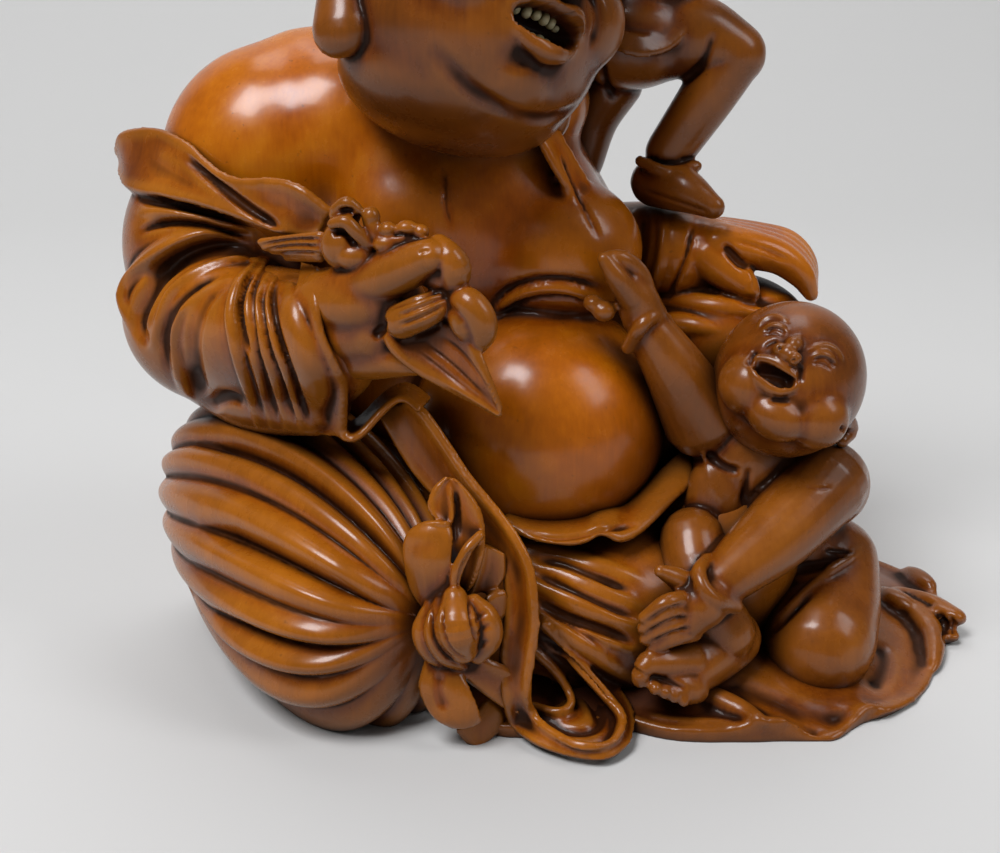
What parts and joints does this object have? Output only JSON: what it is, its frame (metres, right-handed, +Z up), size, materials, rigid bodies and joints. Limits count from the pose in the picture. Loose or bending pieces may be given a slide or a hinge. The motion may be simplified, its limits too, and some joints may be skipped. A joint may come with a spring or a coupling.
{
  "type": "boxwood buddha carving",
  "caption": "Polished boxwood carving of a seated round-bellied figure leaning on a tied sack, with two children climbing on it; rests on its flat underside.",
  "frame": {"origin": "a point on the ground under the seated figure, at the middle of the pictured view; Z = 0 is the flat underside", "axes": "+Z up, -Y towards the front of the carving, +X towards the viewer's right"},
  "size_m": [0.2047, 0.1216, 0.2098],
  "materials": {
    "boxwood": "polished, waxed orange-brown boxwood with dark crevices",
    "bone": "satin, aged pale yellow bone inlay"
  },
  "bodies": {
    "root": {"carving": "boxwood", "upper_teeth": "bone", "lower_teeth": "bone"}
  },
  "joints": []
}
